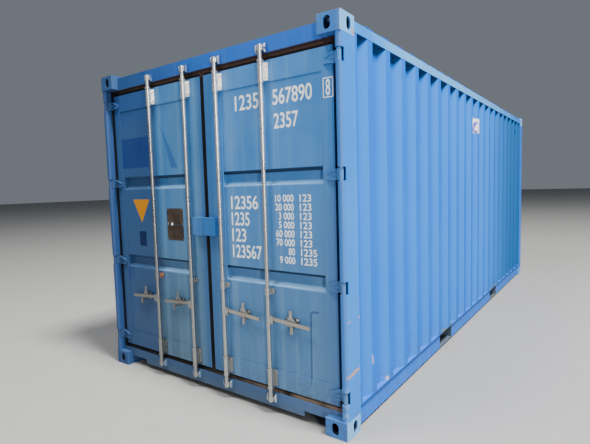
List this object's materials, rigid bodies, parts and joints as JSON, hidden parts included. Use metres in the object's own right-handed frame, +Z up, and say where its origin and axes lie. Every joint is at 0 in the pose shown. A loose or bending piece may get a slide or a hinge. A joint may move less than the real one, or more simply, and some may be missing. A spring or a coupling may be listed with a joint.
{
  "type": "twenty foot shipping container",
  "caption": "Twenty foot steel shipping container with corrugated walls and two hinged doors locked by turning rods.",
  "frame": {"origin": "centre of the footprint, on the ground", "axes": "+Z up, +X along the box from the doors to the blind end, +Y towards the left side seen facing the doors"},
  "size_m": [6.058, 2.438, 2.591],
  "materials": {
    "container_paint": "faded sky-blue paint, light chalking",
    "door_paint": "weathered mid-blue paint, water streaks",
    "lock_box_paint": "fresh bright blue paint",
    "lock_zinc": "dull hot-dip zinc",
    "gasket_rubber": "weathered black door seal",
    "floor_wood": "scuffed plywood",
    "plate_metal": "tarnished blank plate"
  },
  "bodies": {
    "container": {"corner_castings_top": "container_paint", "corner_castings_bottom": "container_paint", "door_post_right": "container_paint", "door_post_left": "container_paint", "end_posts": "container_paint", "door_header": "container_paint", "door_sill": "container_paint", "top_side_rails": "container_paint", "bottom_side_rails": "container_paint", "end_top_rail": "container_paint", "end_bottom_rail": "container_paint", "side_wall_right": "container_paint", "side_wall_left": "container_paint", "end_wall": "container_paint", "roof": "container_paint", "floor_boards": "floor_wood", "cross_members": "container_paint", "fork_pocket_tops": "container_paint", "fork_pocket_sides": "container_paint", "fork_pocket_soles": "container_paint", "hinge_pins": "lock_zinc", "cam_keepers": "container_paint"},
    "left_door": {"left_door_frame": "door_paint", "left_door_panel": "door_paint", "left_door_gasket": "gasket_rubber", "left_door_hinges": "door_paint", "left_door_lock_gear": "lock_zinc", "left_lock_box": "lock_box_paint", "data_plate": "plate_metal"},
    "right_door": {"right_door_frame": "door_paint", "right_door_panel": "door_paint", "right_door_gasket": "gasket_rubber", "right_door_hinges": "door_paint", "right_door_lock_gear": "lock_zinc", "right_lock_box": "lock_box_paint"},
    "rod_1": {"lock_rod_1": "lock_zinc"},
    "handle_1": {"lock_handle_1": "lock_zinc"},
    "catch_1": {"handle_catch_1": "lock_zinc"},
    "rod_2": {"lock_rod_2": "lock_zinc"},
    "handle_2": {"lock_handle_2": "lock_zinc"},
    "catch_2": {"handle_catch_2": "lock_zinc"},
    "rod_3": {"lock_rod_3": "lock_zinc"},
    "handle_3": {"lock_handle_3": "lock_zinc"},
    "catch_3": {"handle_catch_3": "lock_zinc"},
    "rod_4": {"lock_rod_4": "lock_zinc"},
    "handle_4": {"lock_handle_4": "lock_zinc"},
    "catch_4": {"handle_catch_4": "lock_zinc"}
  },
  "joints": [
    {"name": "left_door_swing", "type": "hinge", "parent": "container", "child": "left_door", "pos_m": [-3.008, 1.1975, 1.3], "axis": [0, 0, -1], "range_deg": [0, 260]},
    {"name": "right_door_swing", "type": "hinge", "parent": "container", "child": "right_door", "pos_m": [-3.008, -1.1975, 1.3], "axis": [0, 0, 1], "range_deg": [0, 260]},
    {"name": "rod_1_turn", "type": "hinge", "parent": "left_door", "child": "rod_1", "pos_m": [-3.003, 0.598, 1.3], "axis": [0, 0, -1], "range_deg": [-100, 0]},
    {"name": "handle_1_lift", "type": "hinge", "parent": "rod_1", "child": "handle_1", "pos_m": [-3.003, 0.632, 0.684], "axis": [-1, 0, 0], "range_deg": [-40, 0]},
    {"name": "catch_1_flip", "type": "hinge", "parent": "left_door", "child": "catch_1", "pos_m": [-3.018, 0.805, 0.64558], "axis": [-1, 0, 0], "range_deg": [0, 180]},
    {"name": "rod_2_turn", "type": "hinge", "parent": "left_door", "child": "rod_2", "pos_m": [-3.003, 0.172, 1.3], "axis": [0, 0, -1], "range_deg": [-100, 0]},
    {"name": "handle_2_lift", "type": "hinge", "parent": "rod_2", "child": "handle_2", "pos_m": [-3.003, 0.206, 0.684], "axis": [-1, 0, 0], "range_deg": [-40, 0]},
    {"name": "catch_2_flip", "type": "hinge", "parent": "left_door", "child": "catch_2", "pos_m": [-3.018, 0.379, 0.64558], "axis": [-1, 0, 0], "range_deg": [0, 180]},
    {"name": "rod_3_turn", "type": "hinge", "parent": "right_door", "child": "rod_3", "pos_m": [-3.003, -0.172, 1.3], "axis": [0, 0, 1], "range_deg": [-100, 0]},
    {"name": "handle_3_lift", "type": "hinge", "parent": "rod_3", "child": "handle_3", "pos_m": [-3.003, -0.206, 0.684], "axis": [1, 0, 0], "range_deg": [-40, 0]},
    {"name": "catch_3_flip", "type": "hinge", "parent": "right_door", "child": "catch_3", "pos_m": [-3.018, -0.379, 0.64558], "axis": [1, 0, 0], "range_deg": [0, 180]},
    {"name": "rod_4_turn", "type": "hinge", "parent": "right_door", "child": "rod_4", "pos_m": [-3.003, -0.598, 1.3], "axis": [0, 0, 1], "range_deg": [-100, 0]},
    {"name": "handle_4_lift", "type": "hinge", "parent": "rod_4", "child": "handle_4", "pos_m": [-3.003, -0.632, 0.684], "axis": [1, 0, 0], "range_deg": [-40, 0]},
    {"name": "catch_4_flip", "type": "hinge", "parent": "right_door", "child": "catch_4", "pos_m": [-3.018, -0.805, 0.64558], "axis": [1, 0, 0], "range_deg": [0, 180]}
  ]
}
